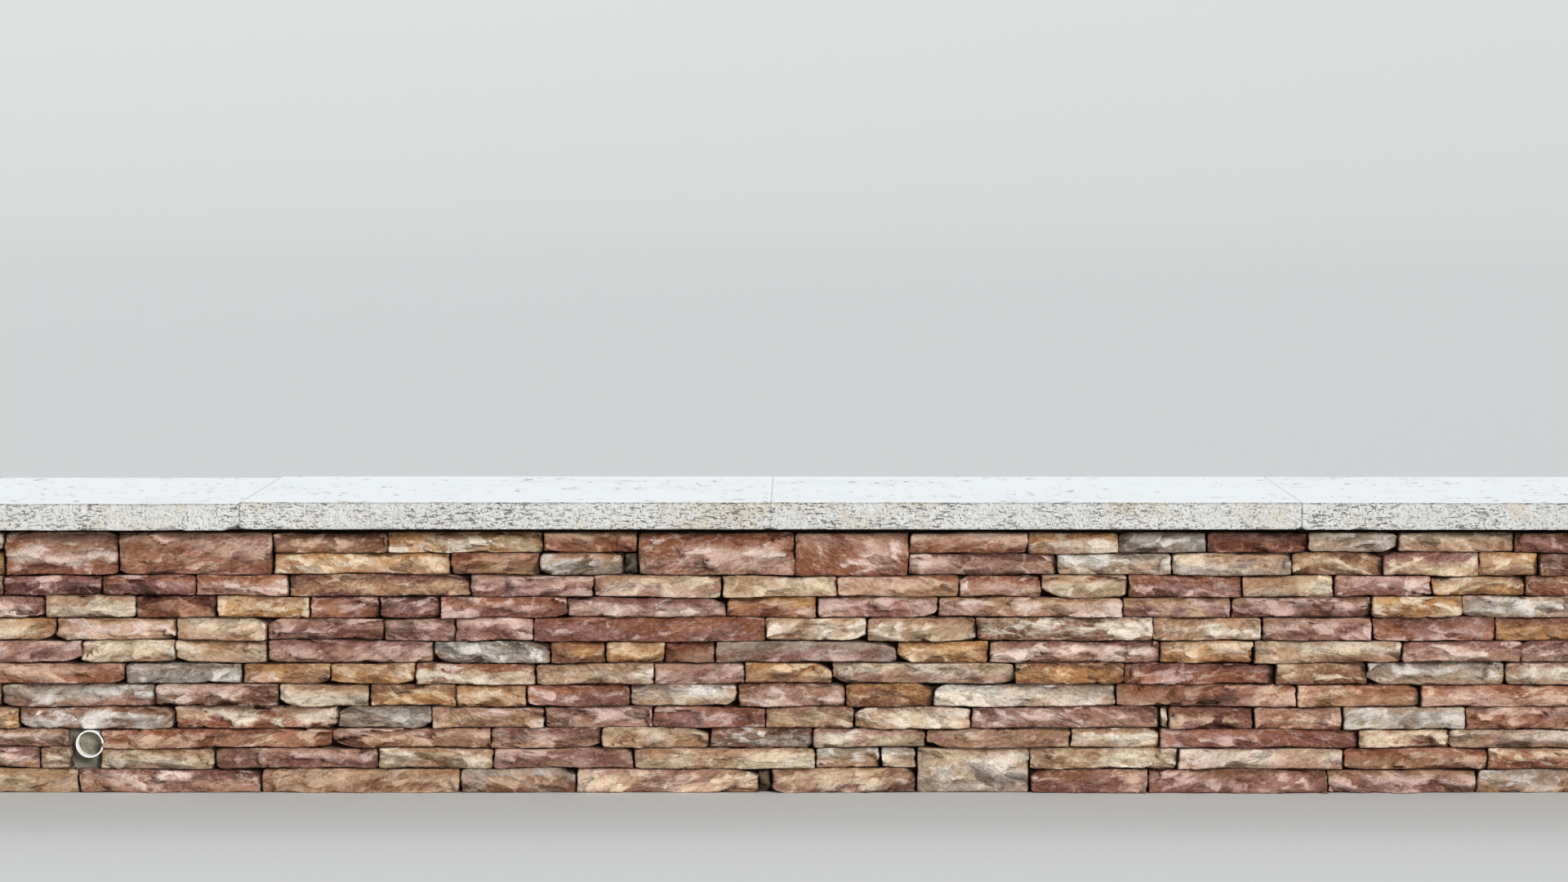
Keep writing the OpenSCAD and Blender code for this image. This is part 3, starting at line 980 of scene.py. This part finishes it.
def buildSlab(number):
    low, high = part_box(f"coping_slab_{number}")
    low, high = Vector(low), Vector(high)
    leftDirt, rightDirt = 0.0, 0.0
    leftChip, rightChip = coping["outerChip"], coping["outerChip"]
    if number > 1:
        grow, leftDirt, other, leftChip = coping["joints"][number - 2]
        low.x -= grow * mm
    if number < slabs:
        grow, rightDirt, rightChip, other = coping["joints"][number - 1]
        high.x += grow * mm
    size = high - low
    middle = (low.x + high.x) / 2
    bm = bmesh.new()
    dirtAndShadeLayer = bm.verts.layers.float.new("jointDirtAndChipShade")
    bmesh.ops.create_cube(bm, size=1)
    bmesh.ops.translate(bm, verts=bm.verts[:], vec=(0.5, 0.5, 0.5))
    for axis, cuts in ((0, coping["columns"]), (2, coping["rows"]), (1, coping["strips"])):
        along = [e for e in bm.edges if abs((e.verts[0].co - e.verts[1].co)[axis]) > 0.9]
        bmesh.ops.subdivide_edges(bm, edges=along, cuts=cuts, use_grid_fill=True)
    under = [f for f in bm.faces if f.normal.z < -0.9]
    bmesh.ops.dissolve_faces(bm, faces=under)
    key = 17.0 * number
    chipReach, chipHeight = coping["cornerChip"]
    biteIn, biteUp = coping["biteReach"]
    nickDepth, nickHeight = coping["nick"]
    broad, fine = coping["topWave"]
    for v in bm.verts:
        u, t, w = v.co
        onEnd = u < tiny or u > 1 - tiny
        onSide = t < tiny or t > 1 - tiny
        u, t, w = crowd(u, 0.2), crowd(t, 0.85), crowd(w, 0.3)
        x, y, z = low.x + u * size.x, low.y + t * size.y, low.z + w * size.z
        along = x + y
        pit = 0.0
        if onEnd or onSide:
            rough = ripple(along * 90, z * 90, key) + 0.6 * ripple(along * 210, z * 210, key + 4)
            pit = coping["pitDepth"] * clamp(0.25 + 0.55 * rough)
            pit += coping["crumble"] * clamp(0.5 + ripple(along * 9, z * 14, key + 9))
        fromTop, fromFoot = high.z - z, z - low.z
        inX = min(x - low.x, high.x - x)
        inY = min(y - low.y, high.y - y)
        near = min(inX, inY)
        inner = inX <= inY and (number > 1 or x > middle) and (number < slabs or x < middle)
        roll = coping["topRoll"] * (1 + 0.35 * ripple(x * 30, y * 30, key + 2))
        roll *= coping["innerRoll"] if inner else 1
        bite = clamp(ripple(along * 16, 1.0, key + 6) * 1.7 - 0.15) * coping["footBite"]
        bite += coping["crumble"] * clamp(0.4 + ripple(along * 60, 4.0, key))
        chipShare = leftChip if x < middle else rightChip
        if inX < chipReach * chipShare and onSide:
            # a chip struck off the lower corner leaves a hollow, painted dark as shade
            fall = chipHeight * chipShare * (1 - inX / (chipReach * chipShare)) ** 0.7
            hollow = clamp((fall - fromFoot) / (2.5 * mm) + 0.4 * ripple(x * 90, z * 90, key))
            pit += coping["chipDepth"] * hollow
            v[dirtAndShadeLayer] = hollow
        if near < biteIn:
            if fromFoot < tiny:
                z += bite * (1 - near / biteIn)
            elif onEnd or onSide:
                z += bite * clamp(1 - fromFoot / biteUp)
        if onEnd or onSide:
            pit += rounded(roll, fromTop)
        nick = clamp(1.6 * ripple(along * 75, 2.0, key + 3) - 0.25) * nickDepth
        if fromTop < nickHeight and onSide:
            z -= nick * (1 - fromTop / nickHeight)
            pit += nick * 0.8
        if fromTop < tiny:
            z -= (broad * (1 + ripple(x * 7, y * 7, key))
                  + fine * (1 + ripple(x * 60, y * 60, key)))
            z -= rounded(roll, near) * 0.8
        if onSide:
            y += pit if t < 0.5 else -pit
        if onEnd and not inner:
            x += 0.6 * pit if u < 0.5 else -0.6 * pit
        if onEnd:
            v[dirtAndShadeLayer] = max(v[dirtAndShadeLayer], leftDirt if u < 0.5 else rightDirt)
        v.co = Vector((x, y, z))
    piece = newPiece(f"copingSlab{number}", bm, copingStone)
    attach(piece, "root")
    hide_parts(f"coping_slab_{number}")


for number in range(1, slabs + 1):
    buildSlab(number)
print("coping laid")


# mortar, core and pipes

def makeMortar(name, light, dark, green):
    material, s, skin = newMaterial(name)
    place = s.place()
    clouds = s.noise(place, 22, 6, 0.65)
    colour = s.blend(s.ramp(clouds, 0.38, 0.62), dark, light)
    moss = s.noise(place, 38, 5, 0.6)
    colour = s.blend(s.ramp(moss, 0.5, 0.7, 0, 0.6), colour, green)
    grain = s.group(grainGroup, Vector=place)
    colour = s.blend(s.times(grain["Speckle"], 0.3), colour, (60, 54, 48))
    rough = s.ramp(grain["Height"], 0.3, 0.7, 0.85, 0.97)
    s.dress(skin, colour, rough, s.plus(clouds, grain["Height"]), 3 * mm, 0.8)
    return material


collarMortar = makeMortar("collarMortar", (146, 140, 122), (74, 70, 56), (84, 90, 64))
bedMortar = makeMortar("bedMortar", (104, 96, 86), (62, 56, 50), (60, 58, 46))
coreBlock = makeMortar("coreBlock", (92, 84, 76), (54, 48, 43), (52, 46, 38))

for node, material in (("left_core", coreBlock), ("middle_core", coreBlock),
                       ("right_core", coreBlock), ("coping_bed", bedMortar)):
    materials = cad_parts[node].data.materials
    materials.clear()
    materials.append(material)

pipe = {
    "wall": 2.8 * mm,
    "lip": 0.8 * mm,  # its worn rims
    "sides": 72,
    "rings": 24,
    "plastic": (236, 236, 231),
    "dirt": (186, 178, 160),
    "film": (196, 200, 194),
    "siltAndShade": (104, 96, 74),
    "siltAndShadeFrom": (160 * mm, 6 * mm),  # in from the mouth: where the painted shade and silt are most, where they end
}


def makePipePlastic():
    material, s, skin = newMaterial("pipePlastic")
    place = s.place()
    dirt = s.noise(place, 60, 5, 0.65)
    colour = s.blend(s.ramp(dirt, 0.52, 0.74, 0, 0.5), pipe["plastic"], pipe["dirt"])
    film = s.noise(s.stretch(place, (1, 0.3, 1)), 26, 3, 0.5)
    colour = s.blend(s.ramp(film, 0.45, 0.68, 0, 0.3), colour, pipe["film"])
    # painted shade deeper in the bore, with silt
    mouth = abs(pipeBoxes["left"][0].y)
    most, least = (mouth - back for back in pipe["siltAndShadeFrom"])
    fromMiddle = s.maths("ABSOLUTE", s.add("SeparateXYZ", {0: place}).outputs[1])
    colour = s.blend(s.ramp(fromMiddle, most, least, 0.8, 0), colour, pipe["siltAndShade"])
    s.dress(skin, colour, s.ramp(dirt, 0.4, 0.7, 0.38, 0.7), dirt, 1 * mm, 0.25)
    return material


pipePlastic = makePipePlastic()


def buildPipe(side):
    low, high = pipeBoxes[side]
    middle = (low + high) / 2
    outer = (high.x - low.x) / 2
    bm = bmesh.new()
    made = bmesh.ops.create_circle(bm, segments=pipe["sides"], radius=outer)["verts"]
    bmesh.ops.rotate(bm, verts=made, cent=(0, 0, 0), matrix=Matrix.Rotation(math.pi / 2, 3, "X"))
    bmesh.ops.translate(bm, verts=made, vec=(middle.x, low.y, middle.z))
    start = edges = list(dict.fromkeys(e for v in made for e in v.link_edges))
    step = (high.y - low.y) / pipe["rings"]
    # along the outside, in over the wall's thickness, and back along the bore
    for way in (1, -1):
        for n in range(pipe["rings"]):
            verts, edges = extrudeRing(bm, edges)
            bmesh.ops.translate(bm, verts=verts, vec=(0, way * step, 0))
        if way == 1:
            verts, edges = extrudeRing(bm, edges)
            share = (outer - pipe["wall"]) / outer
            bmesh.ops.scale(bm, verts=verts, vec=(share, 1, share),
                            space=Matrix.Translation((-middle.x, 0, -middle.z)))
    bmesh.ops.bridge_loops(bm, edges=start + edges)
    lips = [e for e in bm.edges if not e.is_boundary and e.calc_face_angle(0) > 1.0]
    bmesh.ops.bevel(bm, geom=lips, offset=pipe["lip"], segments=2, profile=0.5, affect="EDGES",
                    material=-1)
    piece = newPiece(f"{side}WeepPipe", bm, pipePlastic)
    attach(piece, "root")
    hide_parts(f"{side}_weep_pipe")


collar = {
    "columns": 22,
    "rows": 20,
    "keepBack": 10 * mm,  # how far it lies back from the CAD collar's face
    "rough": (2.5 * mm, 1.5 * mm),  # broad and fine
    "lip": (7 * mm, 12 * mm),  # how high and how wide it is heaped round the pipe
    "room": 0.3 * mm,  # between it and the pipe
}


def buildCollars(side):
    # rough mortar packed round the pipe between the stones, on both faces
    low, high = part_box(f"{side}_pipe_collars")
    pipeLow, pipeHigh = pipeBoxes[side]
    centre = (pipeLow + pipeHigh) / 2
    radius = (pipeHigh.x - pipeLow.x) / 2 + collar["room"]
    broad, fine = collar["rough"]
    lipHeight, lipWidth = collar["lip"]
    bm = bmesh.new()
    for way, key, face in ((-1, 5.0, low.y), (1, 8.0, high.y)):
        made, rim = uprightGrid(bm, collar["columns"], collar["rows"], -way * math.pi / 2)
        for v in made:
            x = low.x + (v.co.x + 0.5) * (high.x - low.x)
            z = low.z + (v.co.z + 0.5) * (high.z - low.z)
            rough = broad * ripple(x * 60, z * 60, key) + fine * ripple(x * 160, z * 160, key)
            off = math.hypot(x - centre.x, z - centre.z)
            lip = lipHeight * clamp(1 - (off - radius) / lipWidth)
            v.co = Vector((x, face - way * (collar["keepBack"] - rough - lip), z))
        verts, rim = extrudeRing(bm, rim)
        for v in verts:
            v.co.y = way * coreFace
        bmesh.ops.contextual_create(bm, geom=rim)
    piece = newPiece(f"{side}PipeCollars", bm, collarMortar)
    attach(piece, "root")
    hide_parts(f"{side}_pipe_collars")


for side in ("left", "right"):
    buildPipe(side)
    buildCollars(side)
print("pipes and collars in")


# stage, lights and camera

# metres
stage = {"floor": 45.0, "edgeShade": 70.0, "rise": 14.0, "sides": 96, "steps": 16,
         "colour": (204, 205, 204)}


def makeStage():
    # a pale floor that rises all round, so that it is the background too
    material, s, skin = newMaterial("paleFloor")
    s.link(srgb(*stage["colour"]), skin.inputs["Base Color"])
    s.link(0.9, skin.inputs["Roughness"])
    bm = bmesh.new()
    bmesh.ops.create_circle(bm, segments=stage["sides"], radius=stage["floor"], cap_ends=True)
    edges = [e for e in bm.edges if e.is_boundary]
    sweep = stage["edgeShade"] - stage["floor"]
    reach = stage["floor"]
    for step in range(1, stage["steps"] + 1):
        angle = math.pi / 2 * step / stage["steps"]
        verts, edges = extrudeRing(bm, edges)
        wide = stage["floor"] + sweep * math.sin(angle)
        rise = stage["rise"] * (1 - math.cos(angle)) - verts[0].co.z
        bmesh.ops.scale(bm, verts=verts, vec=(wide / reach, wide / reach, 1))
        bmesh.ops.translate(bm, verts=verts, vec=(0, 0, rise))
        reach = wide
    floor = newPiece("studioFloor", bm, material)
    floor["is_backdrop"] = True


makeStage()

lamps = {
    # degrees up, degrees round from the front, strength, how wide it shines, colour
    "keyLight": (22, 30, 2.7, 18, (1.0, 0.995, 0.985)),
    "backLight": (45, 200, 0.7, 30, (1.0, 1.0, 1.0)),
}
sky = {"Color": (0.93, 0.97, 1.0, 1), "Strength": 0.56}


def makeLights():
    for name, (up, around, strength, wide, colour) in lamps.items():
        data = bpy.data.lights.new(name, "SUN")
        data.energy = strength
        data.angle = math.radians(wide)
        data.color = colour
        lamp = newObject(name, data)
        lamp.rotation_euler = (math.radians(90 - up), 0, math.radians(around))
    world = bpy.data.worlds.new("studio")
    world.use_nodes = True
    bpy.context.scene.world = world
    for key, value in sky.items():
        world.node_tree.nodes["Background"].inputs[key].default_value = value


makeLights()

view = {
    "place": (0.0446, -7.507, 1.0906),  # metres: eye height and distance read from the photo
    "down": 3.78,  # degrees below level
    "left": 0.167,  # degrees turned to the left
    "sensor": 36,  # mm
    "lens": 96.4,
    "reach": 200,  # metres
}


def makeCamera():
    data = bpy.data.cameras.new("photoView")
    data.sensor_width = view["sensor"]
    data.lens = view["lens"]
    data.clip_end = view["reach"]
    camera = newObject("photoView", data)
    camera.location = view["place"]
    camera.rotation_euler = (math.radians(90 - view["down"]), 0, math.radians(view["left"]))
    bpy.context.scene.camera = camera


makeCamera()
bpy.context.scene.view_settings.view_transform = "Standard"

total = sum(len(p.vertices) - 2 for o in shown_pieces() if o.type == "MESH" for p in o.data.polygons)
print("triangles:", total)
